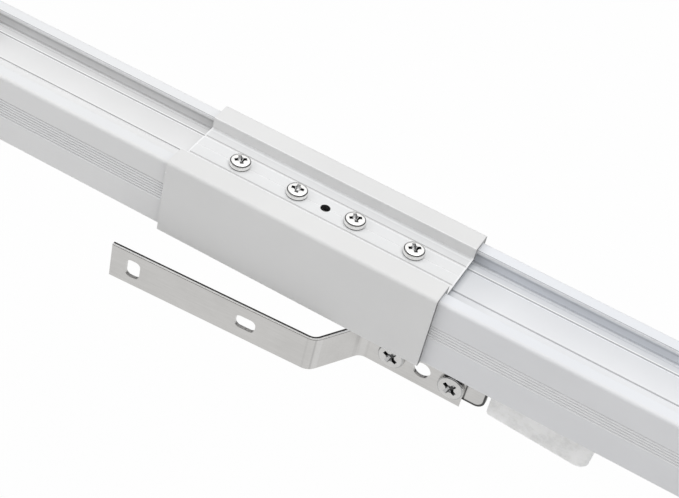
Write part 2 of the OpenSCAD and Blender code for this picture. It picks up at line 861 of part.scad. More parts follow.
module belt_clamp() {
    x0 = jaw_x - jaw_len / 2;
    x1 = jaw_x + jaw_len / 2;
    color(steel) hang() difference() {
        union() {
            box(x0, x1, -clamp_leg_y - clamp_t, -clamp_in_y, jaw_top, jaw_top + clamp_t);
            box(x0, x1, -clamp_leg_y - clamp_t, -clamp_leg_y, belt_z + 0.2, jaw_top + eps);
        }
        for (dx = [-clamp_screw_dx, clamp_screw_dx])
            translate([jaw_x + dx, clamp_screw_y, jaw_top]) {
                rod(m3_r + 0.1, -eps, clamp_t + eps);
                rod(clamp_head_r + 0.1, clamp_t - clamp_head_h, clamp_t + eps);
            }
    }
}

module clamp_screws() {
    color(steel) hang() for (dx = [-clamp_screw_dx, clamp_screw_dx])
        translate([jaw_x + dx, clamp_screw_y, jaw_top + clamp_t])
            flat_screw(clamp_head_r, clamp_head_h, m3_r, clamp_screw_len);
}

module carrier_bracket() {
    color(steel) hang() difference() {
        union() {
            translate([0, plate_back, 0]) rotate([90, 0, 0]) linear_extrude(strip_t) difference() {
                polygon(concat(
                    [[plate_x, foot_z], [plate_x, plate_bottom]],
                    arc([plate_end_x - plate_corner_r, plate_bottom + plate_corner_r],
                        plate_corner_r, -90, 0),
                    [[plate_end_x, foot_z]]
                ));
                translate([spare_x - notch_w / 2, plate_bottom - eps])
                    square([notch_w, notch_top - plate_bottom + eps]);
            }
            box(plate_x, plate_end_x, plate_front, flange_y, foot_z - strip_t, foot_z);
        }
        for (x = [screw_a_x, screw_b_x]) translate([x, 0, -strip_drop])
            rod_y(m5_r + screw_gap, plate_front - eps, plate_back + eps);
        for (x = foot_screw_xs)
            translate([x, 0, 0]) rod(m4_r + screw_gap, foot_z - strip_t - eps, foot_z + eps);
    }
}

module bracket_screws() {
    color(steel) hang() for (x = foot_screw_xs)
        translate([x, 0, foot_z - strip_t]) mirror([0, 0, 1])
            pan_screw(m4_head_r, m4_head_h, m4_r, strip_t + foot_screw_len - 1);
}

// Middle line of the strip, from its free end to the carrier
reach_dir = [cos(reach_angle), sin(reach_angle)];
arm_mid = arm_front + strip_t / 2;
arm_points = [
    [bend_out_x, arm_mid - bend_out_y] - reach_len * reach_dir,
    [bend_out_x, arm_mid - bend_out_y],
    [bend_in_x, arm_mid],
    [strip_end_x, arm_mid]
];
function heading(a, b) = atan2(b[1] - a[1], b[0] - a[0]);
// Corner rounded at distance d from the middle line, on the left of the direction of travel
function bend(a, b, c, r, d) =
    let (h0 = heading(a, b), h1 = heading(b, c), turn = h1 - h0, s = sign(turn))
    let (back = r * tan(abs(turn) / 2), start = b - back * [cos(h0), sin(h0)])
    let (mid = start + s * r * [-sin(h0), cos(h0)])
    arc(mid, r - s * d, h0 - s * 90, h1 - s * 90, 8);
function shifted(p, h, d) = p + d * [-sin(h), cos(h)];
function strip_side(d) = concat(
    [shifted(arm_points[0], heading(arm_points[0], arm_points[1]), d)],
    bend(arm_points[0], arm_points[1], arm_points[2], bend_r, d),
    bend(arm_points[1], arm_points[2], arm_points[3], bend_r, d),
    [shifted(arm_points[3], 0, d)]
);
function reversed(v) = [for (i = [len(v) - 1:-1:0]) v[i]];
hook_slots = [[end_slot_x, 0], [middle_slot_x, 90]];

// Window w wide and l high with rounded corners, cut along Y
module window_y(w, l, r, depth) {
    for (u = [r - w / 2, w / 2 - r], v = [r - l / 2, l / 2 - r])
        translate([u, 0, v]) rod_y(r, -depth, depth);
    box(-w / 2, w / 2, -depth, depth, r - l / 2, l / 2 - r);
    box(r - w / 2, w / 2 - r, -depth, depth, -l / 2, l / 2);
}

module overlap_arm() {
    color(steel) hang() difference() {
        translate([0, 0, -strip_drop - strip_h / 2]) linear_extrude(strip_h)
            polygon(concat(strip_side(-strip_t / 2), reversed(strip_side(strip_t / 2))));
        for (s = hook_slots)
            translate([arm_points[0][0], arm_points[0][1], -strip_drop]) rotate([0, 0, reach_angle])
                translate([s[0], 0, 0]) rotate([0, s[1], 0])
                    window_y(hook_slot_w, hook_slot_l, hook_slot_r, 2 * strip_t);
        for (x = [screw_a_x, screw_b_x]) translate([x, 0, -strip_drop])
            rod_y(m5_r + screw_gap, arm_front - eps, arm_front + strip_t + eps);
        translate([spare_x, 0, -strip_drop]) rod_y(spare_r, arm_front - eps, arm_front + strip_t + eps);
    }
}

module arm_screws() {
    color(steel) hang() for (x = [screw_a_x, screw_b_x])
        translate([x, arm_front, -strip_drop]) rotate([90, 45, 0])
            pan_screw(m5_head_r, m5_head_h, m5_r, 2 * strip_t + nut_t + 0.6);
}

module arm_nuts() {
    color(steel) hang() for (x = [screw_a_x, screw_b_x])
        translate([x, 0, -strip_drop]) difference() {
            translate([0, plate_back, 0]) rotate([-90, 0, 0]) cylinder(r = nut_r, h = nut_t, $fn = 6);
            rod_y(m5_r + thread_gap, plate_back - eps, plate_back + nut_t + eps);
        }
}

module runner(i) {
    translate([runner_x + i * runner_pitch, 0, 0]) difference() {
        union() {
            box(-runner_len / 2, runner_len / 2, -runner_core_hw, runner_core_hw,
                flange_t + 0.6, runner_top);
            box(-runner_len / 2, runner_len / 2, -runner_neck_hw, runner_neck_hw,
                -1, flange_t + 1);
            box(-eye_out_r, eye_out_r, -eye_t / 2, eye_t / 2, -eye_drop, 0);
            translate([0, 0, -eye_drop]) rod_y(eye_out_r, -eye_t / 2, eye_t / 2);
        }
        translate([0, 0, -eye_drop]) rod_y(eye_r, -eye_t, eye_t);
        translate([0, 0, flange_t + wheel_r]) rod_y(axle_r + run_gap, -6, 6);
    }
}

module runner_wheels(i) {
    translate([runner_x + i * runner_pitch, 0, flange_t + wheel_r]) {
        rod_y(axle_r, -wheel_y - wheel_w, wheel_y + wheel_w);
        for (m = [0, 1]) mirror([0, m, 0]) {
            rod_y(wheel_r, wheel_y, wheel_y + wheel_w);
            rod_y(roller_hub_r, wheel_y - roller_hub_t, wheel_y + wheel_w);
        }
    }
}

module runner_1() {
    color(nylon) hang() runner(0);
}

module runner_2() {
    color(nylon) hang() runner(1);
}

module runner_3() {
    color(nylon) hang() runner(2);
}

module runner_wheels_1() {
    color(grey_plastic) hang() runner_wheels(0);
}

module runner_wheels_2() {
    color(grey_plastic) hang() runner_wheels(1);
}

module runner_wheels_3() {
    color(grey_plastic) hang() runner_wheels(2);
}

rail_left();
rail_right();
joining_sleeve();
sleeve_screws();
joint_bar();
toothed_belt();
drive_casing();
drive_cover();
idler_casing();
idler_cover();
cover_screws();
drive_bushes();
idler_axle();
end_stops();
stop_screws();
bracket_plate_left();
bracket_plate_right();
bracket_pins();
lock_cam_left();
lock_cam_right();
drive_pulley();
drive_shaft();
idler_pulley();
carrier_body();
carrier_axles();
roller_1();
roller_2();
roller_3();
roller_4();
belt_clamp();
clamp_screws();
carrier_bracket();
bracket_screws();
overlap_arm();
arm_screws();
arm_nuts();
runner_1();
runner_2();
runner_3();
runner_wheels_1();
runner_wheels_2();
runner_wheels_3();
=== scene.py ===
import math

import bmesh
import bpy
from mathutils import Matrix, Vector


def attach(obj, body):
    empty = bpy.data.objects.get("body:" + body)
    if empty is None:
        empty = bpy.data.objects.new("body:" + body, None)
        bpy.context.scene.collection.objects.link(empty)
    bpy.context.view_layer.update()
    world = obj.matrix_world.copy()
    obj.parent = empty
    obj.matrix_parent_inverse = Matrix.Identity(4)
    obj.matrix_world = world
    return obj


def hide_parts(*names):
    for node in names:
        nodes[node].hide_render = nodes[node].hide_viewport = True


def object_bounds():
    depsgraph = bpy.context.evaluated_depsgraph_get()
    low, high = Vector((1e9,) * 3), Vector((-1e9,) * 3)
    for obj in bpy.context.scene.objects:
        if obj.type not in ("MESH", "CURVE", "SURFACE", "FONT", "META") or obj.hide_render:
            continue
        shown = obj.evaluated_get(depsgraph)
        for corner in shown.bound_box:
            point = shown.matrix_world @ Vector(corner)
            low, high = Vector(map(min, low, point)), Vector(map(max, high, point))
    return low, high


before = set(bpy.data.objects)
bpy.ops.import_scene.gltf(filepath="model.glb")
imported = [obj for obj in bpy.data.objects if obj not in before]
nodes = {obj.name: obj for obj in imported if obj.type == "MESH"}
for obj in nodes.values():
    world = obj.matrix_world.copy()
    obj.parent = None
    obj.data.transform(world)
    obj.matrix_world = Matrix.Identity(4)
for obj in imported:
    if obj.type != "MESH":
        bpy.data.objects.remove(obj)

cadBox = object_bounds()
mm = 0.001
hang = 35.4  # from the ceiling down to the rails' lower face, in mm

# camera of the photograph: place and clipping in metres, angles in degrees, lens and sensor in mm
view = {"place": (0.150398, -0.419593, 0.386373), "azimuth": 18.578, "elevation": 42.730,
        "roll": 14.416, "lens": 84.513, "sensor": 36.0, "near": 0.01, "far": 50}

az, el, roll = (math.radians(view[angle]) for angle in ("azimuth", "elevation", "roll"))
backDir = Vector((math.sin(az) * math.cos(el), -math.cos(az) * math.cos(el), math.sin(el)))
rightDir = Vector((0, 0, 1)).cross(backDir).normalized()
upDir = backDir.cross(rightDir)
rolledRight = math.cos(roll) * rightDir + math.sin(roll) * upDir
rolledUp = math.cos(roll) * upDir - math.sin(roll) * rightDir
aimed = Matrix((rolledRight, rolledUp, backDir)).transposed().to_4x4()
camera = bpy.data.objects.new("photoCamera", bpy.data.cameras.new("photoCamera"))
bpy.context.scene.collection.objects.link(camera)
camera.matrix_world = Matrix.Translation(view["place"]) @ aimed
camera.data.lens = view["lens"]
camera.data.sensor_fit = "HORIZONTAL"
camera.data.sensor_width = view["sensor"]
camera.data.clip_start = view["near"]
camera.data.clip_end = view["far"]
bpy.context.scene.camera = camera
bpy.context.scene.view_settings.view_transform = "Standard"
print("camera set")

noiseSpan = (0.25, 0.75)  # where most of a noise lies
squareOn = 0.7  # a face looks along an axis when its normal has more than this of it


def newMaterial(name):
    material = bpy.data.materials.new(name)
    material.use_nodes = True
    shader = material.node_tree.nodes["Principled BSDF"]
    return material, shader


# the owner of a node is a material or the world
def addNode(owner, kind, **values):
    made = owner.node_tree.nodes.new(kind)
    for key, value in values.items():
        setattr(made, key, value)
    return made


def wire(owner, source, target):
    owner.node_tree.links.new(source, target)


def feed(owner, value, socket):
    # a plain value is set on the socket, another node's output is linked to it
    if isinstance(value, (int, float, tuple)):
        socket.default_value = value
    else:
        wire(owner, value, socket)


def maths(owner, operation, *terms, **values):
    made = addNode(owner, "ShaderNodeMath", operation=operation, **values)
    for index, term in enumerate(terms):
        feed(owner, term, made.inputs[index])
    return made.outputs["Value"]


def mix(owner, kind, factor, first, second):
    made = addNode(owner, "ShaderNodeMix", data_type=kind)
    for socket, value in (("Factor", factor), ("A", first), ("B", second)):
        feed(owner, value, made.inputs[socket])
    return made.outputs["Result"]


def ramp(owner, value, points, **values):
    # points are two values, then the results at them
    made = addNode(owner, "ShaderNodeMapRange", **values)
    for socket, number in zip(("From Min", "From Max", "To Min", "To Max"), points):
        made.inputs[socket].default_value = number
    wire(owner, value, made.inputs["Value"])
    return made.outputs["Result"]


def noise(material, scale, detail, stretch=(1, 1, 1), rough=0.5):
    coords = addNode(material, "ShaderNodeTexCoord")
    mapping = addNode(material, "ShaderNodeMapping")
    mapping.inputs["Scale"].default_value = stretch
    wire(material, coords.outputs["Object"], mapping.inputs["Vector"])
    made = addNode(material, "ShaderNodeTexNoise")
    for socket, value in (("Scale", scale), ("Detail", detail), ("Roughness", rough)):
        made.inputs[socket].default_value = value
    wire(material, mapping.outputs["Vector"], made.inputs["Vector"])
    return made.outputs["Fac"]


def streaks(material, detail, stretch):
    return noise(material, 1, detail, stretch=stretch)


def colourRamp(material, factor, low, high, start=0.3, end=0.7):
    made = addNode(material, "ShaderNodeValToRGB")
    for element, place, colour in zip(made.color_ramp.elements, (start, end), (low, high)):
        element.position = place
        element.color = colour
    wire(material, factor, made.inputs["Fac"])
    return made.outputs["Color"]


def valueRange(material, factor, low, high):
    return ramp(material, factor, noiseSpan + (low, high))


def bumpChain(material, shader, layers):
    # layers are (height socket, strength, distance in metres), the finest last
    normal = None
    for height, strength, distance in layers:
        bump = addNode(material, "ShaderNodeBump")
        bump.inputs["Strength"].default_value = strength
        bump.inputs["Distance"].default_value = distance
        wire(material, height, bump.inputs["Height"])
        if normal:
            wire(material, normal, bump.inputs["Normal"])
        normal = bump.outputs["Normal"]
    wire(material, normal, shader.inputs["Normal"])


def product(owner, *factors):
    made = factors[0]
    for factor in factors[1:]:
        made = maths(owner, "MULTIPLY", made, factor)
    return made


def mixColour(material, factor, first, second):
    return mix(material, "RGBA", factor, first, second)


def axesOf(material, vector):
    parts = addNode(material, "ShaderNodeSeparateXYZ")
    wire(material, vector, parts.inputs["Vector"])
    return [parts.outputs[axis] for axis in "XYZ"]


def placeAxes(material):
    # along the track, across it and height
    return axesOf(material, addNode(material, "ShaderNodeTexCoord").outputs["Object"])


def beyond(material, value, limit):
    return maths(material, "GREATER_THAN", maths(material, "ABSOLUTE", value), limit)


def facingAxis(material, axis):
    normal = axesOf(material, addNode(material, "ShaderNodeNewGeometry").outputs["True Normal"])
    return beyond(material, normal["XYZ".index(axis)], squareOn)


def between(material, value, low, high):
    return product(material, maths(material, "GREATER_THAN", value, low),
                   maths(material, "LESS_THAN", value, high))


def band(material, place, low, high):
    return between(material, place, low * mm, high * mm)


def fading(material, place, start, end, first, last):
    # a band that goes from the first strength to the last
    strength = ramp(material, place, (start * mm, end * mm, first, last))
    return product(material, strength, band(material, place, start, end))


def distance(material, first, second):
    return maths(material, "SQRT", maths(material, "ADD", product(material, first, first),
                                         product(material, second, second)))


# White powder coat on the drawn aluminium sections. A mark runs along the track: its start and end
# across the track and its lowest and highest height above the rails' lower face in mm, then its
# strength at the start and at the end. Painted shade darkens grooves, corners, the wall under the lips
# and the deck towards the far wall, painted highlight brightens edges and grooves, and sky is painted
# cool light on faces that look up and in the channel.
markColours = {"dust": (0.16, 0.162, 0.165, 1), "paintedHighlight": (0.97, 0.975, 0.985, 1),
               "sky": (0.89, 0.935, 1.0, 1), "shade": (0.14, 0.17, 0.2, 1), "hole": (0.035, 0.035, 0.036, 1)}
# painted shade on both rails: groove lines, corners, under the lips and towards the far wall
sharedPaintedShade = [(7.02, 7.5, 26.6, 27.05, 0.6, 0.6), (7.5, 10.8, 26.9, 27.05, 0.17, 0.26),
              (-5.6, 6.2, 26.9, 27.05, 0.01, 0.14), (10.55, 10.85, 26.8, 27.05, 0.2, 0.2),
              (14.6, 15.3, 24.3, 25.0, 0.16, 0.26), (15.1, 15.3, 24.9, 27.7, 0.05, 0.05),
              (15.1, 15.3, 27.7, 29.9, 0.27, 0.27), (13.95, 14.35, 31.1, 31.3, 0.6, 0.6)]
# painted highlights on both rails: beside the grooves, on the gutter floor and on the lips' inner faces
sharedPaintedHighlight = [(6.72, 6.98, 26.3, 26.9, 0.5, 0.5), (7.5, 8.0, 26.9, 27.05, 1.0, 1.0),
               (13.9, 14.5, 24.4, 24.6, 1.0, 1.0), (13.7, 13.95, 30.1, 31.1, 1.0, 1.0)]
coatLooks = {
    "railCoat": {"low": (0.845, 0.847, 0.85, 1), "high": (0.885, 0.886, 0.889, 1), "rough": (0.34, 0.46),
                 "dust": [(-6.25, -5.85, 26.8, 27.05, 0.74, 0.74)] + sharedPaintedShade,
                 "paintedHighlight": [(-5.7, -4.9, 26.9, 27.05, 0.5, 0.3)] + sharedPaintedHighlight,
                 "sky": [(-18.5, -13.9, 30.9, 31.3, 0.2, 0.2), (13.9, 19, 30.9, 31.3, 0.2, 0.2)],
                 "cut": ((0.2, 0.2, 0.2, 1), (0.34, 0.34, 0.345, 1)),
                 "grooves": {"count": 7, "dust": 0.8}},
    # the right rail's copy of the same coat, painted bluer as cooler light
    "railCoatCoolLit": {"low": (0.837, 0.843, 0.861, 1), "high": (0.877, 0.883, 0.901, 1), "rough": (0.34, 0.46),
                     "dust": [(-6.56, -6.22, 26.5, 27.05, 0.5, 0.5)] + sharedPaintedShade,
                     "paintedHighlight": [(-5.9, -5.3, 26.9, 27.05, 0.4, 0.2)] + sharedPaintedHighlight,
                     # sky here is painted cool light on the tops and a painted cool tint of the shade on the
                     # far wall and gutter
                     "sky": [(-18.5, -13.9, 30.9, 31.3, 0.28, 0.32), (-11, 6.7, 26.9, 27.05, 0.05, 0.2),
                             (6.7, 15.4, 23.5, 30.9, 0.3, 0.4), (13.9, 19, 30.9, 31.3, 0.4, 0.35)],
                     "cut": ((0.2, 0.2, 0.2, 1), (0.34, 0.34, 0.345, 1)),
                     "grooves": {"count": 5, "dust": 0.5},
                     "shade": [(57, 57.8, 0.6, 0.45), (57.8, 59.6, 0.36, 0.14), (59.6, 76, 0.14, 0)]},
    "sleeveCoat": {"low": (0.81, 0.81, 0.808, 1), "high": (0.85, 0.85, 0.847, 1), "rough": (0.36, 0.48),
                   "dust": [(-5.7, -5.42, 27.8, 28.45, 0.32, 0.32), (6.25, 6.53, 27.8, 28.45, 0.4, 0.4),
                            (6.6, 9.8, 28.35, 28.45, 0.05, 0.07), (10.9, 11.6, 28.2, 28.9, 0.1, 0.2)],
                   "paintedHighlight": [(-7.0, -6.5, 28.35, 28.45, 0.8, 0.8), (4.9, 5.35, 28.35, 28.45, 0.8, 0.8),
                             (-0.45, -0.1, 28.35, 28.45, 0.7, 0.7), (10.0, 10.5, 28.35, 28.45, 0.5, 0.5),
                             (11.9, 12.4, 33.1, 33.4, 0.6, 0.6)],
                   "sky": [(-6.6, 12.6, 28.3, 28.5, 0.12, 0.16)],
                   "cut": ((0.36, 0.36, 0.365, 1), (0.5, 0.5, 0.5, 1)),
                   "rubbedEnd": {"along": (56.4, 57.1), "height": (28, 28.5)}},
}
# noises are (scale, detail), streaks (detail, stretch), bumps (strength, distance in metres);
# deck, wall and hole are in mm
powder = {"clouds": (22, 4), "dieLines": (3, (6, 900, 900)), "peel": (2400, 2),
          "sawLines": (3, (50, 1500, 90)), "dieBump": (0.18, 0.00004), "peelBump": (0.12, 0.00003),
          "gloss": 0.4, "deckHalf": 11, "deckHeight": (26, 27.1), "outerWall": 19.9, "wallShade": 0.8,
          "holeRadius": 1.95}
# middle and face are places in mm, upper and lower are parts of the pitch
grooveLook = {"middle": 16.2, "pitch": 1.25, "face": 19.55, "upper": (0.5, 0.96), "lower": (0.04, 0.5)}


def marked(material, colour, place, marks, target):
    across, height = place[1:]
    for start, end, low, high, first, last in marks:
        where = product(material, fading(material, across, start, end, first, last),
                        band(material, height, low - hang, high - hang))
        colour = mixColour(material, where, colour, target)
    return colour


def grooved(material, colour, place, grooves):
    # grooves in the side faces: painted shade on the upper half, painted highlight on the lower half
    across, height = place[1:]
    pitch = grooveLook["pitch"]
    lowest = grooveLook["middle"] - pitch * grooves["count"] / 2 - hang
    rise = maths(material, "ADD", height, -lowest * mm)
    phase = maths(material, "FRACT", product(material, rise, 1 / (pitch * mm)))
    sides = product(material, band(material, height, lowest, lowest + pitch * grooves["count"]),
                    beyond(material, across, grooveLook["face"] * mm))
    upper = product(material, between(material, phase, *grooveLook["upper"]), sides, grooves["dust"])
    lower = product(material, between(material, phase, *grooveLook["lower"]), sides)
    colour = mixColour(material, upper, colour, markColours["dust"])
    return mixColour(material, lower, colour, markColours["paintedHighlight"])


def shaded(material, colour, place, steps):
    # shade on the rail's deck beside the sleeve's end, in steps along the track
    along, across, height = place
    low, high = powder["deckHeight"]
    for start, end, first, last in steps:
        where = product(material, fading(material, along, start, end, first, last),
                        band(material, across, -powder["deckHalf"], powder["deckHalf"]),
                        band(material, height, low - hang, high - hang))
        colour = mixColour(material, where, colour, markColours["shade"])
    return colour


def highlightedEnds(material, colour, place, end):
    # painted highlight: a bright line on the edge of the sleeve's floor, at both ends
    along, height = place[0], place[2]
    low, high = end["height"]
    where = product(material, band(material, maths(material, "ABSOLUTE", along), *end["along"]),
                    band(material, height, low - hang, high - hang))
    return mixColour(material, where, colour, markColours["paintedHighlight"])


def sawnAndShaded(material, colour, place, cut):
    # the cut ends show bare metal, painted darker as shade, darkest on the outer walls
    lines = streaks(material, *powder["sawLines"])
    wall = product(material, beyond(material, place[1], powder["outerWall"] * mm), powder["wallShade"])
    bare = mixColour(material, wall, colourRamp(material, lines, *cut), markColours["dust"])
    return mixColour(material, facingAxis(material, "X"), colour, bare)


def holed(material, colour, place):
    # painted shade: the sight hole in the middle is painted near black all the way down
    hole = maths(material, "LESS_THAN", distance(material, *place[:2]), powder["holeRadius"] * mm)
    return mixColour(material, hole, colour, markColours["hole"])


def coat(name):
    look = coatLooks[name]
    material, shader = newMaterial(name)
    clouds = noise(material, *powder["clouds"])
    dieLines = streaks(material, *powder["dieLines"])
    peel = noise(material, *powder["peel"])
    place = placeAxes(material)
    colour = colourRamp(material, clouds, look["low"], look["high"])
    for kind in ("sky", "dust", "paintedHighlight"):
        colour = marked(material, colour, place, look[kind], markColours[kind])
    for kind, paint in (("grooves", grooved), ("shade", shaded), ("rubbedEnd", highlightedEnds), ("cut", sawnAndShaded)):
        if kind in look:
            colour = paint(material, colour, place, look[kind])
    wire(material, holed(material, colour, place), shader.inputs["Base Color"])
    wire(material, valueRange(material, dieLines, *look["rough"]), shader.inputs["Roughness"])
    bumpChain(material, shader, [(dieLines, *powder["dieBump"]), (peel, *powder["peelBump"])])
    shader.inputs["Specular IOR Level"].default_value = powder["gloss"]
    return material


finishes = {name: coat(name) for name in coatLooks}

# Nickel and zinc plated steel, bare steel and bronze. Places are in mm from the middle of the joint,
# heights from the ceiling. The strip's middle line is (along the track, across it), a band at a bend is
# its start and end along the track, strength and grey, the plate's corner its place, height and radius.
drawnGrain = (25, 1400, 1400)
turnedGrain = (600, 600, 600)
plateLook = {"low": (0.52, 0.515, 0.505, 1), "high": (0.64, 0.632, 0.62, 1), "rough": (0.28, 0.42),
             "grain": drawnGrain}
metalLooks = {
    "stripSteel": {"low": (0.53, 0.523, 0.51, 1), "high": (0.63, 0.622, 0.61, 1), "rough": (0.26, 0.4),
                   "grain": drawnGrain, "shadedEdgeLow": (0.3, 0.295, 0.29, 1), "shadedEdgeHigh": (0.5, 0.49, 0.48, 1),
                   "middle": [(-68.07, -34.2), (16.17, -29.64), (17.72, -29.3), (19.13, -28.46),
                              (20.17, -27.24), (29.54, -11.81), (30.64, -10.53), (32.15, -9.68),
                              (33.81, -9.4)],
                   "top": -41.5, "edgeDepth": 0.2, "line": (0.34, 0.02), "lineStrength": 0.75, "end": 74,
                   "edgeFront": (1.0, 0.995, 0.985, 1), "edgeRear": (0.07, 0.068, 0.066, 1),
                   "bands": [(16.0, 16.8, 0.1, 0.2), (19.1, 19.6, 0.24, 0.2), (19.8, 21.2, 0.14, 0.9),
                             (29.4, 30.3, 0.1, 0.2), (31.0, 33.0, 0.1, 0.9), (33.4, 34.2, 0.08, 0.2)]},
    "plateSteel": plateLook,
    "carrierPlateSteel": dict(plateLook, corner=(79.3, -51.1, 4), width=0.95, lineStrength=0.9,
                              armShadow=(74.5, 75.15), armShadowStrength=0.8, outline=(0.03, 0.03, 0.03, 1)),
    "zincSteel": {"low": (0.36, 0.362, 0.365, 1), "high": (0.5, 0.502, 0.505, 1), "rough": (0.42, 0.58),
                  "grain": (60, 90, 90)},
    "screwNickel": {"low": (0.8, 0.795, 0.785, 1), "high": (0.92, 0.915, 0.9, 1), "rough": (0.07, 0.14),
                    "grain": turnedGrain},
    "lidScrewNickel": {"low": (0.66, 0.655, 0.645, 1), "high": (0.8, 0.795, 0.785, 1), "rough": (0.16, 0.3),
                       "grain": turnedGrain, "recessBelow": -2.15, "recess": (0.03, 0.03, 0.03, 1)},
    # the arm's screws: the same nickel painted darker, as shade
    "footScrewNickelShaded": {"low": (0.52, 0.515, 0.505, 1), "high": (0.64, 0.635, 0.625, 1),
                        "rough": (0.14, 0.24), "grain": turnedGrain,
                        "shadedEdgeLow": (0.03, 0.03, 0.03, 1), "shadedEdgeHigh": (0.1, 0.1, 0.1, 1)},
    # darker and lighter copies of nickel for the screw heads: painted shade in recesses and on rims, painted
    # highlight on facets
    "halfShadeSteel": {"low": (0.3, 0.3, 0.3, 1), "high": (0.5, 0.5, 0.5, 1), "rough": (0.1, 0.2),
                    "grain": turnedGrain},
    "recessShadeSteel": {"low": (0.04, 0.04, 0.04, 1), "high": (0.13, 0.13, 0.13, 1), "rough": (0.2, 0.35),
                   "grain": turnedGrain},
    "rimShadeSteel": {"low": (0.05, 0.05, 0.05, 1), "high": (0.18, 0.18, 0.18, 1), "rough": (0.2, 0.35),
                 "grain": turnedGrain},
    "facetHighlightSteel": {"low": (0.55, 0.55, 0.55, 1), "high": (0.75, 0.75, 0.75, 1), "rough": (0.15, 0.3),
                   "grain": turnedGrain},
    "bushBronze": {"low": (0.5, 0.32, 0.17, 1), "high": (0.68, 0.47, 0.27, 1), "rough": (0.35, 0.5),
                   "grain": (900, 900, 900)},
}
plating = {"grainDetail": 4, "stains": (70, 5), "stainRough": 0.6, "grainShare": 0.45,
           "ridges": (2, (15, 2600, 200)), "ridgeSpan": (0.4, 0.6), "bump": (0.1, 0.00003)}


def stripPaint(material, face, look):
    # painted light: the upper edge has a painted highlight in front of the middle line and a painted dark
    # reflection behind it, with a painted shade line below; painted light and shade bands at the bends and a
    # painted highlight on the cut end
    along, across, height = placeAxes(material)
    points = look["middle"]
    middle = points[0][1] * mm
    for (x0, y0), (x1, y1) in zip(points, points[1:]):
        step = ramp(material, along, (x0 * mm, x1 * mm, 0, (y1 - y0) * mm))
        middle = maths(material, "ADD", middle, step)
    rear = maths(material, "GREATER_THAN", across, middle)
    edge = mixColour(material, rear, look["edgeFront"], look["edgeRear"])
    top = look["top"]
    upper = product(material, facingAxis(material, "Z"),
                    maths(material, "GREATER_THAN", height, (top - look["edgeDepth"]) * mm))
    low, high = look["line"]
    under = product(material, band(material, height, top - low, top - high), look["lineStrength"])
    face = mixColour(material, under, face, look["edgeRear"])
    for start, end, strength, grey in look["bands"]:
        where = product(material, band(material, along, start, end), strength)
        face = mixColour(material, where, face, (grey, grey, grey, 1))
    cut = product(material, facingAxis(material, "X"),
                  maths(material, "GREATER_THAN", along, look["end"] * mm))
    face = mixColour(material, cut, face, look["edgeFront"])
    return mixColour(material, upper, face, edge)


def platePaint(material, face, look):
    # painted shade: a dark outline along the lower edge and its rounded corner, and a painted shadow
    # beside the arm's end
    along, across, height = placeAxes(material)
    cornerX, cornerZ, radius = look["corner"]
    sideways = maths(material, "MAXIMUM", maths(material, "ADD", along, -cornerX * mm), 0.0)
    down = maths(material, "MAXIMUM", maths(material, "SUBTRACT", cornerZ * mm, height), 0.0)
    outer = maths(material, "GREATER_THAN", distance(material, sideways, down), (radius - look["width"]) * mm)
    front = facingAxis(material, "Y")
    face = mixColour(material, product(material, outer, front, look["lineStrength"]), face, look["outline"])
    armShadow = product(material, band(material, along, *look["armShadow"]), front, look["armShadowStrength"])
    return mixColour(material, armShadow, face, look["outline"])


def plated(name):
    look = metalLooks[name]
    material, shader = newMaterial(name)
    shader.inputs["Metallic"].default_value = 1.0
    grain = streaks(material, plating["grainDetail"], look["grain"])
    stains = noise(material, *plating["stains"], rough=plating["stainRough"])
    wear = mix(material, "FLOAT", plating["grainShare"], stains, grain)
    face = colourRamp(material, wear, look["low"], look["high"])
    if "shadedEdgeLow" in look:
        # faces that look up or down are darker and ridged: partly the sheared edges' own tone, partly painted
        # shade and reflection; painted shade on the rims of the arm's screws
        ridges = streaks(material, *plating["ridges"])
        edge = colourRamp(material, ridges, look["shadedEdgeLow"], look["shadedEdgeHigh"], *plating["ridgeSpan"])
        face = mixColour(material, facingAxis(material, "Z"), face, edge)
    if "middle" in look:
        face = stripPaint(material, face, look)
    if "corner" in look:
        face = platePaint(material, face, look)
    if "recessBelow" in look:
        # painted shade: the cover screws' recess is near black below this height
        deep = maths(material, "LESS_THAN", placeAxes(material)[2], look["recessBelow"] * mm)
        face = mixColour(material, deep, face, look["recess"])
    wire(material, face, shader.inputs["Base Color"])
    wire(material, valueRange(material, wear, *look["rough"]), shader.inputs["Roughness"])
    bumpChain(material, shader, [(grain, *plating["bump"])])
    return material


finishes.update((name, plated(name)) for name in metalLooks)

# moulded plastics; cloud and grain are noise scales, depth is the grain's in metres
plasticLooks = {
    "nylonBlock": {"low": (0.8, 0.8, 0.795, 1), "high": (1.0, 1.0, 0.995, 1), "rough": (0.32, 0.5),
                   "cloud": 150, "grain": 1500, "depth": 0.00006, "glow": 0.45, "paintedGlow": (0.02, 0.12)},
    "runnerNylon": {"low": (0.8, 0.8, 0.79, 1), "high": (0.87, 0.87, 0.865, 1), "rough": (0.35, 0.5),
                    "cloud": 180, "grain": 1500, "depth": 0.00003, "glow": 0.25},
    "housingPlastic": {"low": (0.8, 0.802, 0.806, 1), "high": (0.845, 0.847, 0.85, 1), "rough": (0.42, 0.56),
                       "cloud": 40, "grain": 2800, "depth": 0.00005},
    "wheelPlastic": {"low": (0.7, 0.7, 0.7, 1), "high": (0.8, 0.8, 0.8, 1), "rough": (0.3, 0.42),
                     "cloud": 300, "grain": 2500, "depth": 0.00003},
    "beltRubber": {"low": (0.74, 0.74, 0.72, 1), "high": (0.82, 0.82, 0.8, 1), "rough": (0.5, 0.68),
                   "cloud": 160, "grain": 2200, "depth": 0.00006},
    "stopRubber": {"low": (0.42, 0.42, 0.43, 1), "high": (0.52, 0.52, 0.53, 1), "rough": (0.55, 0.75),
                   "cloud": 160, "grain": 1800, "depth": 0.00008},
}
moulding = {"cloudDetail": 5, "cloudRough": 0.65, "cloudBump": 0.25, "cloudDepth": 4,
            "grainDetail": 2, "grainBump": 0.2, "glowReach": (0.004, 0.004, 0.0038)}


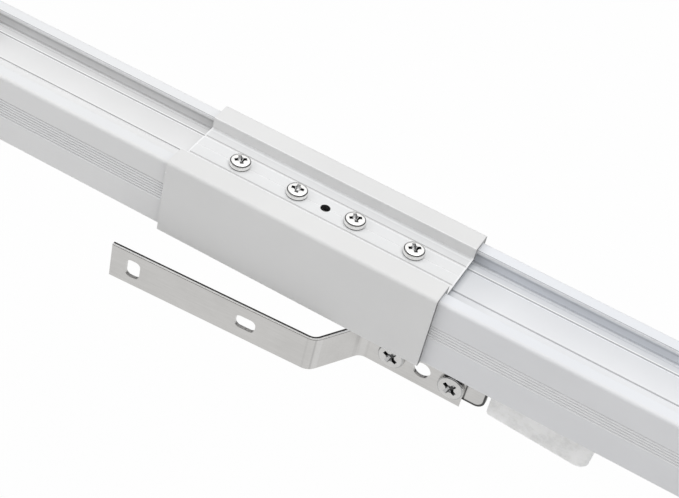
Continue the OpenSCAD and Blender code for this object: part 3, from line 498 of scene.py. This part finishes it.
def moulded(name):
    look = plasticLooks[name]
    material, shader = newMaterial(name)
    clouds = noise(material, look["cloud"], moulding["cloudDetail"], rough=moulding["cloudRough"])
    grain = noise(material, look["grain"], moulding["grainDetail"])
    wire(material, colourRamp(material, clouds, look["low"], look["high"]), shader.inputs["Base Color"])
    wire(material, valueRange(material, clouds, *look["rough"]), shader.inputs["Roughness"])
    bumpChain(material, shader, [(clouds, moulding["cloudBump"], look["depth"] * moulding["cloudDepth"]),
                                 (grain, moulding["grainBump"], look["depth"])])
    if "paintedGlow" in look:
        # painted glow: emission stands in for the light that the cloudy nylon passes on from behind
        shader.inputs["Emission Color"].default_value = (1, 1, 1, 1)
        wire(material, valueRange(material, clouds, *look["paintedGlow"]), shader.inputs["Emission Strength"])
    if "glow" in look:
        shader.inputs["Subsurface Weight"].default_value = look["glow"]
        shader.inputs["Subsurface Radius"].default_value = moulding["glowReach"]
        shader.inputs["Subsurface Scale"].default_value = 1.0
    return material


finishes.update((name, moulded(name)) for name in plasticLooks)

wheels = [name for name in nodes if name.startswith(("roller_", "runner_wheels_"))]
finishedNodes = {
    "railCoat": ["rail_left"],
    "railCoatCoolLit": ["rail_right"],  # the right rail is bluer in the photograph
    "sleeveCoat": ["joining_sleeve"],
    "stripSteel": ["overlap_arm"],
    "plateSteel": ["joint_bar", "belt_clamp", "arm_nuts"],
    "carrierPlateSteel": ["carrier_bracket"],
    "zincSteel": ["bracket_plate_left", "bracket_plate_right"],
    "screwNickel": ["sleeve_screws", "arm_screws", "bracket_screws", "clamp_screws", "stop_screws",
                    "bracket_pins", "carrier_axles", "idler_axle", "drive_shaft"],
    "lidScrewNickel": ["cover_screws"],
    "bushBronze": ["drive_bushes"],
    "nylonBlock": ["carrier_body"],
    "runnerNylon": ["drive_pulley", "idler_pulley", "runner_1", "runner_2", "runner_3"],
    "housingPlastic": ["drive_casing", "drive_cover", "idler_casing", "idler_cover",
                       "lock_cam_left", "lock_cam_right"],
    "wheelPlastic": wheels,
    "beltRubber": ["toothed_belt"],
    "stopRubber": ["end_stops"],
}
for finish, names in finishedNodes.items():
    for name in names:
        slots = nodes[name].data.materials
        slots.clear()
        slots.append(finishes[finish])
print("materials on", sum(len(names) for names in finishedNodes.values()), "nodes")

# Pan head screws: spun head and thread, cross recess cut in. The head's outline is (radius, height) as
# shares of the head's; sizes and places are in mm, a screw's own turn in degrees.
panHead = [(0, 1.0), (0.4, 0.99), (0.66, 0.96), (0.82, 0.91), (0.88, 0.87), (0.93, 0.8), (0.965, 0.72),
           (0.99, 0.6), (1.0, 0.48), (1.0, 0.16), (0.99, 0.05), (0.95, 0.0)]
m4Screw = {"headR": 4.2, "headH": 2.72, "shankR": 1.94, "pitch": 0.7, "span": 6.1, "arm": 1.7, "deep": 1.7}
m5Screw = {"headR": 5.5, "headH": 1.9, "shankR": 2.44, "pitch": 0.8, "span": 8.2, "arm": 2.1, "deep": 1.3}
m3Screw = {"headR": 2.6, "headH": 1.8, "shankR": 1.44, "pitch": 0.5, "span": 2.9, "arm": 0.75, "deep": 1.0}
# spare is the length without thread; depth is a share of the pitch, chamferR and tipR of the shank
thread = {"spare": 0.8, "firstCrest": 0.3, "depth": 0.55, "chamfer": 0.15, "chamferR": 0.75, "tipR": 0.6}
# the blades taper to shares of their span and arm, the cone's radii are shares of the arm
cross = {"above": 1, "footSpan": 0.5, "footArm": 0.55, "coneFoot": 0.45, "coneTop": 1.05, "coneDrop": 0.2,
         "coneSides": 24, "leaning": 0.3}
# the ring near the edge and the upper half are shares of the head, its foot is in mm
headBands = {"inner": 0.88, "outer": 0.96, "upperHalf": 0.5, "foot": 0.4}
headSlots = {"face": 0, "recess": 1, "rim": 2, "facet": 3}
turning = {"steps": 64, "weld": 0.002, "sharpAngle": 32}
# nickel face, with the recess and rim painted dark as shade and the recess's facets painted light as
# highlight
plainHead = ("screwNickel", "recessShadeSteel", "rimShadeSteel", "facetHighlightSteel")
upright = Matrix.Identity(4)
towardFront = Matrix.Rotation(math.radians(90), 4, "X")
headDown = Matrix.Rotation(math.radians(180), 4, "X")
screwSets = {
    "sleeveScrewHeads": {"size": m4Screw, "length": 4.7, "node": "sleeve_screws", "body": "track",
                         "facing": upright, "finish": plainHead,
                         "at": [(-37.5, 0, -7, 40), (-12.5, 0, -7, 14), (12.5, 0, -7, 36),
                                (37.5, 0, -7, 37)]},
    "armScrewHeads": {"size": m5Screw, "length": 7.8, "node": "arm_screws", "body": "carrier",
                      "facing": towardFront,
                      "finish": ("footScrewNickelShaded", "recessShadeSteel", "halfShadeSteel", "halfShadeSteel"),
                      "at": [(43.8, -10.2, -49.7, 63), (69.4, -10.2, -49.7, 58)]},
    "bracketScrewHeads": {"size": m4Screw, "length": 8.6, "node": "bracket_screws", "body": "carrier",
                          "facing": headDown, "finish": plainHead,
                          "at": [(46, 0, -38.2, 20), (73.3, 0, -38.2, 65)]},
    "stopScrewHeads": {"size": m3Screw, "length": 7.1, "node": "stop_screws", "body": "track",
                       "facing": headDown, "finish": plainHead,
                       "at": [(-200.75, 0, -37.9, 10), (200.75, 0, -37.9, 50)]},
}


def spun(points):
    mesh = bmesh.new()
    ring = [mesh.verts.new((radius * mm, 0, height * mm)) for radius, height in points]
    edges = [mesh.edges.new(pair) for pair in zip(ring, ring[1:])]
    bmesh.ops.spin(mesh, geom=ring + edges, cent=(0, 0, 0), axis=(0, 0, 1), angle=math.tau,
                   steps=turning["steps"], use_merge=True)
    bmesh.ops.remove_doubles(mesh, verts=mesh.verts, dist=turning["weld"] * mm)
    bmesh.ops.recalc_face_normals(mesh, faces=mesh.faces)
    return mesh


def meshObject(name, mesh):
    data = bpy.data.meshes.new(name)
    mesh.to_mesh(data)
    mesh.free()
    made = bpy.data.objects.new(name, data)
    bpy.context.scene.collection.objects.link(made)
    return made


def crossCutter(size):
    # two tapered blades and a cone, from the recess's foot to above the head
    mesh = bmesh.new()
    tall = size["deep"] + cross["above"]
    for angle in (0, 90):
        blade = bmesh.ops.create_cube(mesh, size=mm)["verts"]
        bmesh.ops.scale(mesh, verts=blade, vec=(size["span"], size["arm"], tall))
        foot = [vert for vert in blade if vert.co.z < 0]
        bmesh.ops.scale(mesh, verts=foot, vec=(cross["footSpan"], cross["footArm"], 1))
        quarter = Matrix.Rotation(math.radians(angle), 3, "Z")
        bmesh.ops.rotate(mesh, verts=blade, cent=(0, 0, 0), matrix=quarter)
    cone = bmesh.ops.create_cone(mesh, cap_ends=True, segments=cross["coneSides"],
                                 radius1=size["arm"] * cross["coneFoot"] * mm,
                                 radius2=size["arm"] * cross["coneTop"] * mm, depth=tall * mm)["verts"]
    bmesh.ops.translate(mesh, verts=cone, vec=(0, 0, -cross["coneDrop"] * mm))
    raised = size["headH"] + cross["above"] - tall / 2
    bmesh.ops.translate(mesh, verts=mesh.verts, vec=(0, 0, raised * mm))
    mesh.normal_update()
    for face in mesh.faces:
        # painted highlight: the tapered ends and the feet of the blades are brighter facets
        leans = len(face.verts) == 4 and abs(face.normal.z) > cross["leaning"]
        face.material_index = headSlots["facet"] if leans else headSlots["recess"]
    return meshObject("crossCutter", mesh)


def cutAway(target, cutter):
    cut = target.modifiers.new("cut", "BOOLEAN")
    cut.object = cutter
    cut.solver = "EXACT"
    cut.use_self = True
    bpy.context.view_layer.update()
    seen = target.evaluated_get(bpy.context.evaluated_depsgraph_get())
    result = bpy.data.meshes.new_from_object(seen)
    target.modifiers.clear()
    bpy.data.objects.remove(cutter)
    return result


def screwMesh(size, length):
    points = [(radius * size["headR"], height * size["headH"]) for radius, height in panHead]
    points.append((size["shankR"], 0))
    for turn in range(int((length - thread["spare"]) / size["pitch"])):
        crest = -thread["firstCrest"] - turn * size["pitch"]
        root = size["shankR"] - thread["depth"] * size["pitch"]
        points += [(size["shankR"], crest), (root, crest - size["pitch"] / 2)]
    points += [(size["shankR"] * thread["chamferR"], -length + thread["chamfer"]),
               (size["shankR"] * thread["tipR"], -length), (0, -length)]
    turned = spun(points)
    for face in turned.faces:
        # painted shade: a dark ring near the head's outer edge as painted reflection, and a painted shadow at
        # its foot
        centre = face.calc_center_median() / mm
        share = centre.xy.length / size["headR"]
        upper = centre.z > headBands["upperHalf"] * size["headH"]
        ring = headBands["inner"] < share < headBands["outer"] and upper
        foot = 0 < centre.z < headBands["foot"]
        face.material_index = headSlots["rim"] if ring or foot else headSlots["face"]
    blank = meshObject("screwBlank", turned)
    for finish in plainHead:
        blank.data.materials.append(finishes[finish])  # stand-ins, so that the cut has all four slots
    finished = cutAway(blank, crossCutter(size))
    bpy.data.objects.remove(blank)
    finished.polygons.foreach_set("use_smooth", [True] * len(finished.polygons))
    finished.set_sharp_from_angle(angle=math.radians(turning["sharpAngle"]))
    return finished


for name, spec in screwSets.items():
    screw = screwMesh(spec["size"], spec["length"])
    together = bmesh.new()
    for x, y, z, turnedBy in spec["at"]:
        copy = screw.copy()
        copy.transform(Matrix.Translation((x * mm, y * mm, z * mm)) @ spec["facing"]
                       @ Matrix.Rotation(math.radians(turnedBy), 4, "Z"))
        together.from_mesh(copy)
        bpy.data.meshes.remove(copy)
    heads = meshObject(name, together)
    for finish in spec["finish"]:
        heads.data.materials.append(finishes[finish])
    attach(heads, spec["body"])
    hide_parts(spec["node"])
print("screws made", len(screwSets))

# studio: pale floor, one wide soft lamp above and one to the left, a pale sky with a dim horizon;
# skySoft and skyHard are how high they start and end, 1 being overhead, then the strength there
studio = {"floorDrop": 0.22, "floorSize": 20.0, "floorColour": (0.88, 0.88, 0.88, 1), "floorRough": 0.9,
          "floorGlow": 0.96, "skySoft": (0.16, 0.48, 0.12, 0.7), "skyHard": (0.2, 0.5, 0.03, 1.15),
          "lamps": {"topLamp": {"place": (0.1, 0.1, 1.9), "size": 2.0, "watts": 12.5},
                    "leftLamp": {"place": (-1.6, -0.7, 1.1), "size": 1.0, "watts": 6.0}}}

# soft gradient for diffuse light, a harder one in mirrored rays, plain white behind everything
world = bpy.data.worlds.new("studioWorld")
bpy.context.scene.world = world
world.use_nodes = True
background = world.node_tree.nodes["Background"]
skyRise = axesOf(world, addNode(world, "ShaderNodeTexCoord").outputs["Generated"])[2]
skyRays = addNode(world, "ShaderNodeLightPath").outputs
skySoft = ramp(world, skyRise, studio["skySoft"], interpolation_type="SMOOTHSTEP")
skyHard = ramp(world, skyRise, studio["skyHard"], interpolation_type="SMOOTHSTEP")
skyMirror = mix(world, "FLOAT", skyRays["Is Glossy Ray"], skySoft, skyHard)
skyDirect = maths(world, "ADD", skyRays["Is Camera Ray"], skyRays["Is Transmission Ray"], use_clamp=True)
wire(world, mix(world, "FLOAT", skyDirect, skyMirror, 1.0), background.inputs["Strength"])
background.inputs["Color"].default_value = (1, 1, 1, 1)

for name, spec in studio["lamps"].items():
    lamp = bpy.data.lights.new(name, "AREA")
    lamp.shape = "SQUARE"
    lamp.size = spec["size"]
    lamp.energy = spec["watts"]
    placed = bpy.data.objects.new(name, lamp)
    bpy.context.scene.collection.objects.link(placed)
    placed.location = spec["place"]
    placed.rotation_euler = (-Vector(spec["place"])).to_track_quat("-Z", "Y").to_euler()

# the floor takes the object's shadow and is white where it is seen directly, mirrored or through something
floorMesh = bmesh.new()
bmesh.ops.create_grid(floorMesh, x_segments=1, y_segments=1, size=studio["floorSize"])
bmesh.ops.translate(floorMesh, verts=floorMesh.verts, vec=(0, 0, cadBox[0][2] - studio["floorDrop"]))
studioFloor = meshObject("studioFloor", floorMesh)
floorMaterial, floorShader = newMaterial("paleFloor")
floorShader.inputs["Base Color"].default_value = studio["floorColour"]
floorShader.inputs["Roughness"].default_value = studio["floorRough"]
whiteGlow = addNode(floorMaterial, "ShaderNodeEmission")
whiteGlow.inputs["Strength"].default_value = 1.0
floorRays = addNode(floorMaterial, "ShaderNodeLightPath").outputs
seen = maths(floorMaterial, "MAXIMUM", floorRays["Is Camera Ray"], floorRays["Is Glossy Ray"])
seen = maths(floorMaterial, "MAXIMUM", seen, floorRays["Is Transmission Ray"])
floorMix = addNode(floorMaterial, "ShaderNodeMixShader")
wire(floorMaterial, product(floorMaterial, seen, studio["floorGlow"]), floorMix.inputs["Fac"])
wire(floorMaterial, floorShader.outputs["BSDF"], floorMix.inputs[1])
wire(floorMaterial, whiteGlow.outputs["Emission"], floorMix.inputs[2])
floorOutput = floorMaterial.node_tree.nodes["Material Output"]
wire(floorMaterial, floorMix.outputs["Shader"], floorOutput.inputs["Surface"])
studioFloor.data.materials.append(floorMaterial)
print("studio set")
